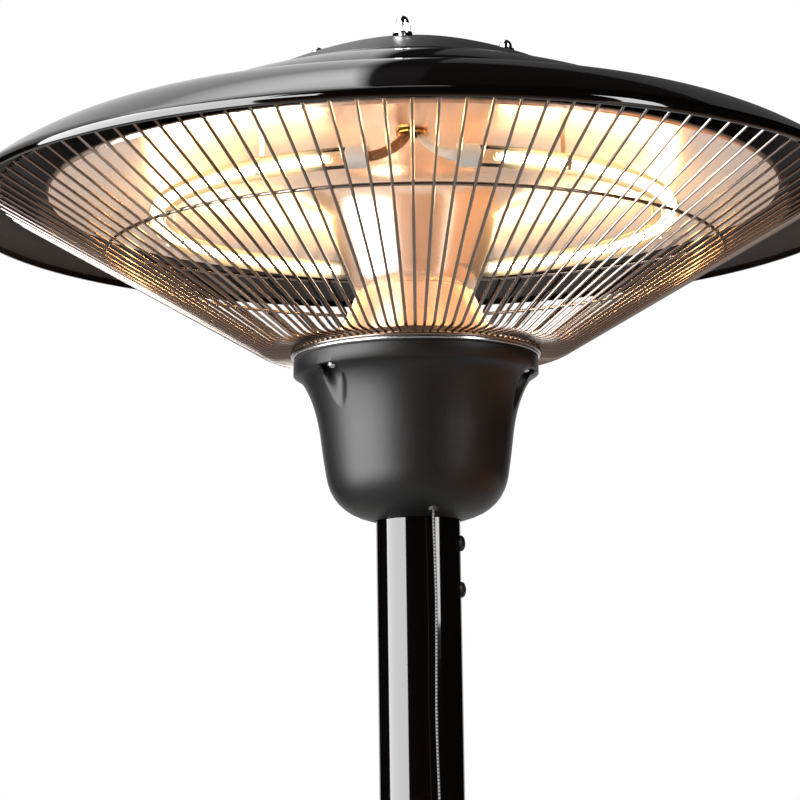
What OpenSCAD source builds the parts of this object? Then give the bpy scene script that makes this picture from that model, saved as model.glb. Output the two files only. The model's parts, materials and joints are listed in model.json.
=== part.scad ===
// Free-standing electric patio heater: a parasol hood over two ring lamps,
// a wire guard, a switch housing, a three-section pole and a weighted base.
// Millimetres, +Z up, front towards -Y, origin on the floor under the pole.

/* [Stand] */
// Height of the hood's rolled edge above the floor
rim_z = 1980; // [1700:10:2200]
// Outside diameter of the pole
pole_d = 54; // [50:1:56]
// Wall of the pole and its inner tubes
pole_wall = 1.5; // [1:0.1:1.6]
// Diameter of the base
base_d = 500; // [460:10:600]
// Thickness of the rubber mat under the base
mat_t = 3; // [2:0.5:3]

/* [Hood] */
// Outside diameter of the hood
hood_d = 590; // [580:5:600]
// Radius of the raised inner step of the hood
step_r = 190; // [186:1:192]
// Radius of the top cap
cap_r = 115; // [110:1:118]
// Radius of the circle of the cap's four nuts
stud_r = 62; // [58:1:66]
// Sheet thickness of the hood
hood_t = 1.2; // [1:0.1:1.4]

/* [Reflector and lamps] */
// Radius of the reflector's edge
dish_r = 236; // [232:1:240]
// Radius of the lamp ring
lamp_r = 166; // [160:1:170]
// Outside diameter of a lamp tube
lamp_d = 13; // [12:0.5:13]
// Half of the gap between the two lamps, degrees
lamp_gap = 13.5; // [12:0.5:15]

/* [Guard] */
// Number of radial guard wires
wire_n = 106; // [80:2:112]
// Diameter of a radial guard wire
wire_d = 2; // [1.6:0.1:2.2]
// Radius of the guard at its top ring
guard_r = 270; // [266:1:272]
// Radius at which the wires bend inwards above the housing
bend_r = 98; // [95:1:101]

/* [Switch housing] */
// Radius of the housing's rim
bell_r = 79; // [78:0.5:80]
// Wall of the moulded housing
bell_wall = 3; // [2.5:0.5:3.5]

/* [Pull switch] */
// Travel of the pull cord
pull_travel = 7.9; // [7.5:0.1:7.9]
// Thickness of the pull cord
cord_d = 1.6; // [1.4:0.1:1.8]

/* [Hidden] */
$fn = 96;

hood_r = hood_d / 2;
pole_r = pole_d / 2;
pole_in = pole_r - pole_wall;      // bore of the pole
tube_r = pole_in - 0.2;            // outside of the tubes that slide into it
tube_in = tube_r - pole_wall;

// Heights of the head's pieces, from the hood's rolled edge.
step_low = 43.6;                   // hood just outside its step
step_top = 48.8;                   // hood just inside its step
crown_z = 83.5;                    // flat top of the hood, under the cap
cap_edge_z = 80.5;                 // underside of the cap's rim
cap_top_z = 119.5;
nut_z = 105.2;                     // seat of the nuts on the cap
plate_z = 20;                      // underside of the carrier plate
plate_t = 2.5;
dish_z = 12;                       // edge of the reflector
dish_t = 1;
neck_z = -49;                      // joint between reflector and lower cone
neck_r = 37.6;
lamp_z = 0;
guard_z = 13;                      // top ends of the guard's wires
bell_z = -94.2;                    // top of the switch housing
bell_rim_h = 9.5;
gasket_t = 0.6;
mount_t = 1.5;
mount_z = bell_z + gasket_t;       // underside of the mounting plate
mount_top = mount_z + mount_t;
mount_r = bell_r + 0.7;
low_ring_d = 2.6;                  // bar of the guard's bottom ring
cone_z = -81.5;                    // foot of the lower cone
cone_r = 56;
bell_low = -198.3;                 // underside of the switch housing

// Pull switch, in a frame with x outwards and y along the housing wall.
cord_az = 14.4;                    // azimuth of the cord, from the front
cord_r = 38.7;                     // distance of the cord from the pole's axis
case_low = -178;
case_high = -144;
lever_len = 9;
lever_swing = asin(pull_travel / 2 / lever_len);  // either side of level
lever_z = -163;
drum_y = 6.5;
drum_z = -154;
stirrup_z = lever_z + lever_len * sin(lever_swing);
cord_len = 450;
grommet_z = -195.2;                // where the cord leaves the housing

// Tilt switch, terminal block and cable entry.
tilt_az = -150;
tilt_z = -124;
block_az = 105;
gland_z = 110;                     // cable gland, above the floor

// Pole joints, above the floor.
pole_top = rim_z + bell_low;
pole_foot = 51.5;                  // top of the socket's flange
joint_1 = pole_foot + (pole_top - pole_foot) / 3;
joint_2 = pole_foot + (pole_top - pole_foot) * 2 / 3;
sleeve_h = 120;
screw_az = 78;                     // side on which the pole screws sit

base_r = base_d / 2;
bolt_r = 44;

// ---------- shared shapes ----------

// Points of a curve from a to c that leaves and arrives along the lines to b.
function bend(a, b, c, n = 8) =
    [for (i = [0:n]) let (t = i / n) a * (1 - t) * (1 - t) + b * 2 * t * (1 - t) + c * t * t];

// A profile and the same profile set back by d, as one closed outline, or only
// the set-back side.
function shell(p, d, back_only = false) = concat(back_only ? [] : p,
    [for (i = [len(p) - 1:-1:0]) [max(0, p[i][0] + d[0]), p[i][1] + d[1]]]);

// Turns a child's +X to azimuth a, counted from the front towards the right.
module at_az(a) rotate([0, 0, a - 90]) children();

module ring(outer, inner, h) difference() {
    cylinder(r = outer, h = h);
    translate([0, 0, -1]) cylinder(r = inner, h = h + 2);
}

// Round bar between two points.
module rod(p, q, r) {
    d = q - p;
    translate(p) rotate([0, acos(d[2] / norm(d)), atan2(d[1], d[0])])
        cylinder(r = r, h = norm(d));
}

module torus(major, minor) rotate_extrude() translate([major, 0]) circle(r = minor);

// Ring of n points of radius r about p, square to the direction t.
function ring_points(p, t, ref, r, n) =
    let (u = cross(t, ref) / norm(cross(t, ref)), v = cross(u, t) / norm(t))
    [for (k = [0:n - 1]) p + r * (cos(360 * k / n) * u + sin(360 * k / n) * v)];

// Tube swept along a list of points, closed at both ends.
module sweep(path, r, ref, n = 8) {
    m = len(path);
    pts = [for (i = [0:m - 1]) each ring_points(path[i],
        path[min(i + 1, m - 1)] - path[max(i - 1, 0)], ref, r, n)];
    sides = [for (i = [0:m - 2], k = [0:n - 1])
        let (a = i * n + k, b = i * n + (k + 1) % n) each [[a, b, b + n], [a, b + n, a + n]]];
    ends = [[for (k = [n - 1:-1:0]) k], [for (k = [0:n - 1]) (m - 1) * n + k]];
    polyhedron(pts, concat(sides, ends), convexity = 6);
}

module hex_nut(af, h, bore) difference() {
    cylinder(d = af / cos(30), h = h, $fn = 6);
    translate([0, 0, -1]) cylinder(d = bore, h = h + 2, $fn = 32);
}

// Screw with a domed head of radius r and height h, its shank down -Z.
module dome_screw(r, h, shank_r, shank) {
    rotate_extrude($fn = 48) polygon(concat([[0, 0], [r, 0]],
        bend([r, h * 0.35], [r * 0.8, h], [0, h], 6)));
    translate([0, 0, -shank]) cylinder(r = shank_r, h = shank + 0.01, $fn = 24);
}

module in_head() translate([0, 0, rim_z]) children();
module in_switch() in_head() at_az(cord_az) children();
module studs_at(z) in_head() for (a = [-5:90:265]) at_az(a) translate([stud_r, 0, z]) children();

// ---------- hood ----------

function hood_profile() = concat(
    [[hood_r - 2.4, -0.5], [hood_r - 0.6, -0.5], [hood_r, 0.4], [hood_r, 3.6]],
    bend([hood_r - 1, 5.3], [hood_r - 51, 48], [step_r + 1, step_low], 10),
    bend([step_r, step_top], [(step_r + cap_r) / 2 + 4.5, 71], [cap_r, 80], 8),
    [[cap_r - 15, 82.6], [cap_r - 23, crown_z], [0, crown_z]]);

module hood() color([0.05, 0.05, 0.055]) difference() {
    in_head() rotate_extrude($fn = 180) polygon(concat(hood_profile(),
        shell([for (p = hood_profile()) if (p[1] > 3) p], [-hood_t * 0.6, -hood_t * 0.9], true)));
    studs_at(crown_z - 5) cylinder(d = 6.6, h = 10, $fn = 32);
}

function cap_outer() = bend([cap_r, cap_edge_z + 1.3], [cap_r / 2 + 0.5, 112], [0, cap_top_z], 10);

// Cover with a flat seat, a hole and a post under each nut.
module top_cap() color([0.08, 0.08, 0.08]) difference() {
    union() {
        in_head() rotate_extrude($fn = 120)
            polygon(concat([[cap_r, cap_edge_z]], shell(cap_outer(), [-1.5, -1.2])));
        studs_at(crown_z) cylinder(r = 7.5, h = nut_z - crown_z);
    }
    studs_at(crown_z - 1) cylinder(d = 6.6, h = 30, $fn = 32);
    studs_at(nut_z) cylinder(r = 7, h = 10);
}

// Domed nuts with a flange as wide as a washer.
module acorn_nuts() color([0.8, 0.8, 0.8]) studs_at(nut_z) difference() {
    union() {
        cylinder(r = 6.3, h = 1.2);
        cylinder(d = 10 / cos(30), h = 6.4, $fn = 6);
        translate([0, 0, 6.4]) rotate_extrude($fn = 48)
            polygon(concat([[0, 0]], bend([4.4, 0], [4.6, 5.8], [0, 6], 8)));
    }
    translate([0, 0, -1]) cylinder(d = 6.2, h = 9, $fn = 32);
}

module hood_studs() color([0.7, 0.7, 0.7])
    studs_at(plate_z + plate_t) cylinder(d = 6, h = nut_z + 8 - plate_z - plate_t, $fn = 32);

module hood_spacers() color([0.7, 0.7, 0.72])
    studs_at(plate_z + plate_t) ring(6, 3.3, crown_z - hood_t * 0.9 - plate_z - plate_t);

module carrier_plate() color([0.65, 0.66, 0.68]) in_head() translate([0, 0, plate_z])
    ring(100, 11.2, plate_t);

tube_low = mount_z - 12;
tube_high = plate_z + plate_t + 12;

// Tie tube that clamps the stack from the mounting plate to the carrier plate.
module center_tube() color([0.6, 0.6, 0.62]) in_head()
    translate([0, 0, tube_low]) ring(11, 9.4, tube_high - tube_low);

module center_tube_nuts() color([0.7, 0.7, 0.72]) in_head()
    for (z = [mount_z - 6, plate_z + plate_t]) translate([0, 0, z]) hex_nut(30, 6, 22.2);

// ---------- reflector and lamps ----------

function dish_profile() = concat(
    [[dish_r + 1.2, dish_z + 2]],
    bend([dish_r, dish_z], [190, 19.5], [130, plate_z - dish_t], 8),
    bend([90, plate_z - dish_t], [62, 17], [56, -6], 8),
    bend([44, -36], [42.5, -45], [neck_r, neck_z], 4));

module reflector() color([0.86, 0.85, 0.83]) difference() {
    in_head() rotate_extrude($fn = 180) polygon(shell(dish_profile(), [-0.5, dish_t]));
    in_head() for (a = [0, 180]) at_az(a) translate([lead_hole_r, 0, 0])
        cylinder(r = 8.2, h = 40, $fn = 48);
}

module lower_cone() color([0.84, 0.83, 0.8]) in_head() rotate_extrude($fn = 120)
    polygon(shell(concat([[neck_r, neck_z]],
        bend([neck_r + 0.6, neck_z - 1.6], [44, -67], [cone_r, cone_z], 8)), [-0.9, -0.4]));

module cone_seat() color([0.04, 0.04, 0.04]) in_head() rotate_extrude($fn = 120)
    polygon([[cone_r - 3, mount_top], [cone_r + 4, mount_top], [cone_r + 4, mount_top + 1.5],
        [cone_r + 0.4, cone_z - 0.4], [cone_r - 3, cone_z - 0.4]]);

// Part of the lamp ring of radius r, from azimuth a to azimuth b.
module lamp_arc(r, a, b) in_head() translate([0, 0, lamp_z]) at_az(a)
    rotate_extrude(angle = b - a, $fn = 180) translate([lamp_r, 0]) circle(r = r, $fn = 32);

module lamp_glass(a) color([0.95, 0.93, 0.85, 0.5]) difference() {
    lamp_arc(lamp_d / 2, a, a + 180 - 2 * lamp_gap);
    lamp_arc(lamp_d / 2 - 1.2, a - 1, a + 181 - 2 * lamp_gap);
}

module lamp_left() lamp_glass(180 + lamp_gap);
module lamp_right() lamp_glass(lamp_gap);
module filament_left() color([1, 0.75, 0.35]) lamp_arc(1.5, 180 + lamp_gap, 360 - lamp_gap);
module filament_right() color([1, 0.75, 0.35]) lamp_arc(1.5, lamp_gap, 180 - lamp_gap);

cap_arc = 4.4;                     // degrees of the ring that a ceramic end takes
lead_hole_r = 148;                 // where the leads go up through the reflector

module lamp_caps() color([0.95, 0.94, 0.9]) for (a = [0, 180]) {
    lamp_arc(lamp_d / 2 + 0.6, a + lamp_gap - cap_arc, a + lamp_gap);
    lamp_arc(lamp_d / 2 + 0.6, a - lamp_gap, a - lamp_gap + cap_arc);
}

// Sprung clip round a lamp, its strap hooked through a slot in the reflector.
module lamp_clips() color([0.75, 0.74, 0.7]) in_head() for (a = [33, 106, 254, 327])
    at_az(a) translate([lamp_r, 0, lamp_z]) {
        rotate([90, 0, 0]) translate([0, 0, -1.5]) difference() {
            cylinder(r = lamp_d / 2 + 0.7, h = 3, $fn = 48);
            translate([0, 0, -1]) cylinder(r = lamp_d / 2 + 0.1, h = 10, $fn = 48);
            translate([-5, -12, -1]) cube([10, 10, 10]);
        }
        translate([-0.4, -1.5, lamp_d / 2 + 0.4]) cube([0.8, 3, 15]);
    }

function on_ring(a, r, z) = [r * sin(a), -r * cos(a), z];

// Leads from the ceramic ends into the bush above the gap, over the reflector
// and down the tie tube into way i of the terminal block. Each lead leaves the
// side s of the gap at azimuth a.
lead_sides = [[0, 1], [0, -1], [180, -1], [180, 1]];

function lead_route(a, s, i) = concat([
    on_ring(a + s * (lamp_gap - cap_arc), lamp_r, 0), on_ring(a + s * 8, lamp_r - 1, 0.5),
    on_ring(a + s * 6.5, lamp_r - 4, 2.5), on_ring(a + s * 4.5, lamp_r - 9, 6.5),
    on_ring(a + s * 2.8, lamp_r - 14, 11.5), on_ring(a + s * 1.5, lead_hole_r, 17),
    on_ring(a + s * 1.5, lead_hole_r - 2, 23), on_ring(a + s * 1.6, lead_hole_r - 8, 28),
    on_ring(a + s * 2, lead_hole_r - 20, 31), on_ring(a + s * 8, 98, 34),
    on_ring(a + s * 17, 68, 37), on_ring(a + s * 26, 40, 40), on_ring(a + s * 33, 22, 42),
    on_ring(a + s * 38, 12, 42), on_ring(a + s * 40, 7.5, 40), on_ring(a + s * 40, 5.6, 36),
    on_ring(a + s * 40, 5.4, 31)],
    [for (z = [20:-25:-80]) on_ring(a + s * 40, 5.4, z)],
    [on_ring(a + s * 40, 5.4, tube_low + 1), on_ring(a + s * 40, 5.4, tube_low - 4)
        + on_ring(block_az, 2, 0), on_ring(block_az, 12, tube_low - 10) + block_way(i) * 0.8,
    on_ring(block_az, 22, tube_low - 14) + block_way(i), on_ring(block_az, 33, block_z + 4.5) + block_way(i)]);

module lamp_leads() color([0.6, 0.38, 0.25]) in_head() for (i = [0:3])
    sweep(lead_route(lead_sides[i][0], lead_sides[i][1], i), 1.7, [1, -0.3, 0]);

module lead_grommets() color([0.8, 0.62, 0.3]) in_head() for (a = [0, 180])
    at_az(a) translate([lead_hole_r, 0, 0]) {
        translate([0, 0, 18]) ring(8, 6.8, 5);
        translate([0, 0, 17]) ring(10, 6.8, 1);
    }

// ---------- guard ----------

// Height of the wires' straight part at radius r, and of their inward run.
run_z = mount_top + low_ring_d + wire_d / 2;
slope = atan((guard_z - run_z) / (guard_r - bend_r));
function guard_h(r) = run_z + (r - bend_r) * tan(slope);

// One wire: a short run inwards over the bottom ring, then up to the top ring.
module guard_wire() {
    foot = [bend_r, 0, run_z];
    rod([bell_r - 1, 0, run_z], foot, wire_d / 2, $fn = 16);
    rod(foot, [guard_r, 0, guard_z], wire_d / 2, $fn = 16);
    translate(foot) rotate([0, 90, 0]) sphere(r = wire_d * 0.56, $fn = 16);
}

module guard_wires() color([0.8, 0.8, 0.82]) in_head()
    for (i = [0:wire_n - 1]) at_az(360 * i / wire_n) guard_wire();

// Ring of bar d that touches the inner side of the sloping wires at radius r.
module guard_ring(r, d) {
    gap = (wire_d + d) / 2;
    in_head() translate([0, 0, guard_h(r) + gap * cos(slope)])
        torus(r - gap * sin(slope), d / 2, $fn = 180);
}

module guard_outer_ring() color([0.8, 0.8, 0.82]) guard_ring(guard_r - 2, 3);
module guard_middle_ring() color([0.8, 0.8, 0.82]) guard_ring(201, 2.4);
module guard_bottom_ring() color([0.85, 0.85, 0.87]) in_head()
    translate([0, 0, mount_top + low_ring_d / 2]) torus(bell_r + 0.4, low_ring_d / 2, $fn = 180);

// Hooks riveted inside the hood, each round the top ring midway between wires.
module guard_clips() color([0.7, 0.7, 0.7]) in_head() for (i = [13, 39, 66, 92])
    at_az(360 * (i + 0.5) / wire_n) translate([guard_r - 2 - 2.5 * sin(slope), 0,
        guard_h(guard_r - 2) + 2.5 * cos(slope)]) {
        rotate([90, 0, 0]) translate([0, 0, -4]) difference() {
            cylinder(r = 2.7, h = 8, $fn = 32);
            translate([0, 0, -1]) cylinder(r = 1.6, h = 10, $fn = 32);
            translate([-5, -5, -1]) cube([5, 5, 10]);
        }
        translate([-0.6, -4, 2.2]) cube([1.2, 8, 6]);
    }

// ---------- switch housing ----------

bell_cove_z = bell_z - bell_rim_h - 3;

function bell_profile() = concat(
    [[bell_r - 1, bell_z], [bell_r, bell_z - 0.8], [bell_r, bell_z - bell_rim_h],
        [bell_r - 4.5, bell_cove_z]],
    bend([bell_r - 4.8, bell_cove_z - 0.2], [66, -118], [62.5, -140], 8),
    bend([62.2, -142], [60.6, -156], [58.8, -167], 4),
    bend([58.6, -168.5], [55.5, -191], [32, -197], 8),
    [[pole_r + 0.6, bell_low]]);

function bell_inside() = concat(
    [[pole_r + 0.6, bell_low + bell_wall]],
    bend([33, -194], [52.5, -188.5], [55.6, -168.5], 8),
    bend([57, -157], [58.5, -146], [59.5, -138], 4),
    bend([60, -135], [63, -118], [70, bell_cove_z], 6),
    [[bell_r - bell_wall, bell_cove_z + 3], [bell_r - bell_wall, bell_z]]);

bell_screw_r = 72;
pocket_az = [-46.5, 73.5, 193.5];
pocket_r = 7.5;                    // bore up which a screwdriver reaches a screw
pocket_top = bell_z - bell_rim_h - 0.5;

module pocket() translate([bell_screw_r, 0, pocket_top - 40]) cylinder(r = pocket_r, h = 40);

// Block round a bore, stepped to stay under the housing's outer surface, with the
// boss that the screw goes up through.
module pocket_wall() difference() {
    back = bell_screw_r - pocket_r - 2;
    half = pocket_r + 2;
    union() {
        for (s = [[22, 64.2], [14, 67], [7, 70.4], [0, bell_r - 1.4]])
            translate([back, -half, pocket_top - s[0]]) cube([s[1] - back, 2 * half, s[0] + 3]);
        translate([bell_screw_r, 0, pocket_top]) cylinder(r = 5, h = bell_z - pocket_top);
    }
    pocket();
    translate([bell_screw_r, 0, pocket_top - 1]) cylinder(r = 2.1, h = 30, $fn = 32);
}

module bell_housing() color([0.09, 0.09, 0.09]) {
    difference() {
        in_head() rotate_extrude($fn = 120) polygon(concat(bell_profile(), bell_inside()));
        in_head() for (a = pocket_az) at_az(a) pocket();
        in_switch() translate([cord_r, 0, bell_low - 5]) cylinder(r = 3.1, h = 20, $fn = 32);
    }
    in_head() for (a = pocket_az) at_az(a) pocket_wall();
}

module bell_screws() color([0.78, 0.78, 0.8]) in_head() for (a = pocket_az)
    at_az(a) translate([bell_screw_r, 0, pocket_top]) rotate([180, 0, 0]) difference() {
        dome_screw(3.2, 2.2, 1.9, mount_top - pocket_top);
        translate([0, 0, 2]) {
            cube([3.4, 0.8, 2], center = true);
            cube([0.8, 3.4, 2], center = true);
        }
    }

module mounting_plate() color([0.6, 0.61, 0.63]) in_head() translate([0, 0, mount_z]) difference() {
    ring(mount_r, 11.2, mount_t);
    for (a = pocket_az) at_az(a) translate([bell_screw_r, 0, -1])
        cylinder(r = 2, h = mount_t + 2, $fn = 32);
}

module housing_gasket() color([0.03, 0.03, 0.03]) in_head() translate([0, 0, bell_z])
    ring(bell_r - 1.2, bell_r - bell_wall, gasket_t);

neck_low = bell_low - 60;

// Tube welded under the mounting plate, with the slot that the leads leave by.
module neck_tube() color([0.5, 0.5, 0.52]) difference() {
    in_head() translate([0, 0, neck_low]) ring(tube_r, tube_in, mount_z - neck_low);
    in_head() at_az(block_az) {
        translate([0, 0, -150]) rotate([0, 90, 0]) cylinder(r = 6, h = 40, $fn = 32);
        translate([10, -15, -127]) cube([30, 30, 13]);
    }
    neck_screw_places(true) translate([0, 0, -10]) cylinder(r = 2.2, h = 20, $fn = 32);
    in_switch() for (z = [-151, -171]) translate([15, 0, z]) rotate([0, 90, 0])
        cylinder(r = 1.4, h = 15, $fn = 24);
}

// Places on the pole's right side, with +Z outwards, where its screws sit.
module side_screws(zs, out) for (z = zs) translate([0, 0, z]) at_az(screw_az)
    translate([out, 0, 0]) rotate([0, 90, 0]) children();
module neck_screw_places(inner = false)
    side_screws([rim_z - 213.5, rim_z - 243], inner ? tube_r : pole_r) children();

module neck_screws() color([0.06, 0.06, 0.06]) neck_screw_places() pole_screw();

// Domed screw with a socket in its head.
module pole_screw() difference() {
    dome_screw(5, 3.2, 2, 6);
    translate([0, 0, 1.6]) cylinder(d = 3, h = 3, $fn = 6);
}

// ---------- pull switch ----------

module pull_switch_case() color([0.88, 0.87, 0.82]) in_switch() difference() {
    translate([22, -13, case_low]) cube([26, 24, case_high - case_low]);
    translate([0, 0, case_low - 1]) cylinder(r = tube_r + 0.02, h = 60);
    translate([30, -11, case_low + 2]) cube([16, 23, case_high - case_low - 4]);
    translate([cord_r, 0, case_low - 1]) cylinder(r = 1.6, h = 4, $fn = 32);
    for (z = [-151, -171]) translate([15, 0, z]) rotate([0, 90, 0])
        cylinder(r = 1.4, h = 18, $fn = 24);
    translate([0, -lever_len, lever_z]) rotate([0, 90, 0]) cylinder(r = 1.02, h = 60, $fn = 32);
    translate([0, drum_y, drum_z]) rotate([0, 90, 0]) cylinder(r = 1.02, h = 60, $fn = 32);
}

module pull_switch_cover() color([0.82, 0.81, 0.76]) in_switch() difference() {
    translate([28, 11, case_low]) cube([20, 2, case_high - case_low]);
    translate([0, 0, case_low - 1]) cylinder(r = tube_r + 0.02, h = 60);
}

module switch_pins() color([0.75, 0.75, 0.75]) in_switch()
    for (yz = [[-lever_len, lever_z], [drum_y, drum_z]])
        translate([28.6, yz[0], yz[1]]) rotate([0, 90, 0]) cylinder(r = 1, h = 19.4, $fn = 32);

// Rocking lever; drawn raised by its swing, which is where the spring holds it.
module switch_lever() color([0.85, 0.7, 0.4]) in_switch()
    translate([0, -lever_len, lever_z]) difference() {
        union() {
            translate([36.7, 0, 0]) rotate([0, 90, 0]) cylinder(r = 1.7, h = 4, $fn = 48);
            rotate([lever_swing, 0, 0]) translate([cord_r - 1, 0, -1.1]) cube([2, lever_len + 3, 2.2]);
        }
        translate([30, 0, 0]) rotate([0, 90, 0]) cylinder(r = 1.05, h = 20, $fn = 48);
    }

// Torsion spring on the lever's pin: four turns, and a leg down to the case.
module return_spring() color([0.7, 0.7, 0.7]) in_switch()
    translate([31.2, -lever_len, lever_z]) rotate([0, 90, 0]) {
        sweep([for (i = [0:48]) let (a = 30 * i) [1.55 * cos(a), 1.55 * sin(a), 0.3 + 4 * i / 48]],
            0.3, [0, 0, 1], 6);
    }

// Two wires from the switch's cover round the housing to the terminal block.
module switch_wires() color([0.3, 0.25, 0.6]) in_head() for (z = [0, 6])
    sweep([for (t = [0:8]) on_ring(cord_az + 17.7 + t * 6.4, 43 + 5 * sin(22.5 * t), -160 + z + t * t * 0.5)],
        1.2, [0.01, 0.02, 1]);

module contact_drum() color([0.2, 0.35, 0.6]) in_switch() translate([31, drum_y, drum_z])
    rotate([0, 90, 0]) difference() {
        union() {
            cylinder(r = 2.6, h = 8, $fn = 48);
            for (a = [0:90:270]) rotate([0, 0, a]) translate([2, -0.8, 1]) cube([1.8, 1.6, 6]);
        }
        translate([0, 0, -1]) cylinder(r = 1.05, h = 10, $fn = 48);
    }

module cord_grommet() color([0.15, 0.15, 0.15]) in_switch() translate([cord_r, 0, 0]) difference() {
    union() {
        translate([0, 0, grommet_z - 0.6]) cylinder(r = 3.12, h = 9, $fn = 48);
        translate([0, 0, grommet_z + 7.4]) cylinder(r = 4.6, h = 2, $fn = 48);
    }
    translate([0, 0, grommet_z - 5]) cylinder(r = 1.6, h = 30, $fn = 48);
}

module cord_stirrup() color([0.75, 0.6, 0.35]) in_switch() translate([cord_r, 0, stirrup_z]) difference() {
    translate([-3, -2, -4.6]) cube([6, 4, 9.2]);
    translate([-1.5, -3, -3.3]) cube([3, 6, 6.6]);
}

// The cord's route: down from the stirrup, then hanging with its slight waves.
// [sideways, outwards, drop] from the stirrup's foot.
cord_route = [[0, 0, 0], [0, 0, -20], [0, 0, -42], [0.4, 0, -60], [0.8, 0.2, -85], [0.6, 0.5, -110],
    [0.2, 0.4, -135], [0, 0, -160], [0.4, -0.3, -185], [0.9, 0, -210], [1.1, 0.4, -240],
    [0.7, 0.6, -270], [0.2, 0.3, -300], [0, 0, -335], [0.2, -0.2, -370], [0.3, 0, -410],
    [0, 0, -cord_len]];

module pull_cord() color([0.6, 0.6, 0.58]) in_switch() translate([cord_r, 0, stirrup_z - 4.6])
    sweep([for (p = cord_route) [p[1], p[0], p[2]]], cord_d / 2, [1, 0, 0]);

module pull_knob() color([0.12, 0.12, 0.12]) in_switch()
    translate([cord_r, 0, stirrup_z - 4.6 - cord_len]) rotate_extrude($fn = 48)
        polygon(concat([[0, 0], [3, 0]], bend([3.4, -1], [5, -14], [7, -24], 6),
            bend([7, -26], [6, -31], [0, -31], 6)));

// ---------- terminal block and tilt switch ----------

block_z = -130;                    // underside of the terminal block
block_pitch = 8;

// Sideways step to way i of the terminal block.
function block_way(i) = (i - 1.5) * block_pitch * [cos(block_az), sin(block_az), 0];

module in_block() in_head() at_az(block_az) translate([33, 0, block_z]) children();

module terminal_block() color([0.93, 0.92, 0.88]) in_block() difference() {
    translate([0, -17, 0]) cube([14, 34, 16]);
    for (i = [0:3]) translate([0, (i - 1.5) * block_pitch, 0]) {
        translate([7, 0, 9]) cylinder(r = 2.6, h = 8, $fn = 32);
        translate([-1, 0, 4.5]) rotate([0, 90, 0]) cylinder(r = 1.9, h = 16, $fn = 32);
    }
}

module terminal_screws() color([0.8, 0.65, 0.3]) in_block() for (i = [0:3])
    translate([7, (i - 1.5) * block_pitch, 9]) difference() {
        cylinder(r = 2.5, h = 4, $fn = 32);
        translate([0, 0, 4]) cube([6, 0.8, 1.6], center = true);
    }

module tilt_switch_case() color([0.25, 0.25, 0.27]) in_head() at_az(tilt_az) difference() {
    translate([22, -12.5, tilt_z - 26]) cube([22, 25, 31]);
    translate([0, 0, tilt_z - 40]) cylinder(r = tube_r + 0.02, h = 60);
    translate([30, -10.5, tilt_z - 24]) cube([12, 21, 27]);
    translate([20, 0, tilt_z]) rotate([0, 90, 0]) cylinder(r = 1.02, h = 30, $fn = 32);
}

module tilt_pin() color([0.75, 0.75, 0.75]) in_head() at_az(tilt_az)
    translate([28, 0, tilt_z]) rotate([0, 90, 0]) cylinder(r = 1, h = 16, $fn = 32);

module tilt_pendulum() color([0.7, 0.6, 0.3]) in_head() at_az(tilt_az) translate([32, 0, tilt_z])
    difference() {
        union() {
            rotate([0, 90, 0]) cylinder(r = 2.4, h = 8, $fn = 48);
            translate([3, -0.8, -14]) cube([2, 1.6, 12.5]);
            translate([0, 0, -16]) rotate([0, 90, 0]) cylinder(r = 3.6, h = 8, $fn = 48);
        }
        translate([-1, 0, 0]) rotate([0, 90, 0]) cylinder(r = 1.05, h = 12, $fn = 48);
    }

// ---------- pole ----------

module pole_part(low, high) difference() {
    translate([0, 0, low]) ring(pole_r, pole_in, high - low);
    pole_holes();
}

joint_zs = [joint_1 - 30, joint_1 + 30, joint_2 - 30, joint_2 + 30];
foot_zs = [pole_foot + 30];

module pole_holes() {
    side_screws(concat(joint_zs, foot_zs, [rim_z - 213.5, rim_z - 243]), pole_in - 5)
        cylinder(r = 2.15, h = 10, $fn = 32);
    translate([0, 0, gland_z]) rotate([-90, 0, 0]) cylinder(r = 6.2, h = 40, $fn = 48);
}

module pole_upper() color([0.04, 0.04, 0.045]) pole_part(joint_2, pole_top);
module pole_middle() color([0.04, 0.04, 0.045]) pole_part(joint_1, joint_2);
module pole_lower() color([0.04, 0.04, 0.045]) pole_part(pole_foot, joint_1);

module joint_sleeves() color([0.5, 0.5, 0.52]) difference() {
    for (z = [joint_1, joint_2]) translate([0, 0, z - sleeve_h / 2]) ring(tube_r, tube_in, sleeve_h);
    pole_holes();
}

module joint_screws() color([0.06, 0.06, 0.06])
    side_screws(concat(joint_zs, foot_zs), pole_r) pole_screw();

// ---------- base ----------

module base_socket() color([0.06, 0.06, 0.06]) difference() {
    union() {
        translate([0, 0, pole_foot - 4]) ring(60, tube_in, 4);
        translate([0, 0, pole_foot - 4]) ring(tube_r, tube_in, 90);
    }
    for (a = [45:90:315]) rotate([0, 0, a]) translate([bolt_r, 0, 0]) cylinder(r = 4.3, h = 100, $fn = 32);
    pole_holes();
}

module base_bolts() color([0.7, 0.7, 0.72]) for (a = [45:90:315]) rotate([0, 0, a])
    translate([bolt_r, 0, 0]) {
        translate([0, 0, pole_foot]) cylinder(d = 13 / cos(30), h = 5.3, $fn = 6);
        translate([0, 0, mat_t + 4]) cylinder(r = 4, h = pole_foot - mat_t - 4, $fn = 32);
    }

module base_nuts() color([0.7, 0.7, 0.72]) for (a = [45:90:315]) rotate([0, 0, a])
    translate([bolt_r, 0, mat_t + 5]) hex_nut(13, 6, 8.1);

base_cover_t = 1.5;

function cover_profile() = concat([[base_r, mat_t + 0.5]],
    bend([base_r, 14], [base_r - 8, 31], [base_r - 58, 35], 8),
    bend([base_r - 62, 35.4], [90, 44], [66, 47.5], 6), [[tube_r + 1.2, pole_foot - 4]]);

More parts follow.
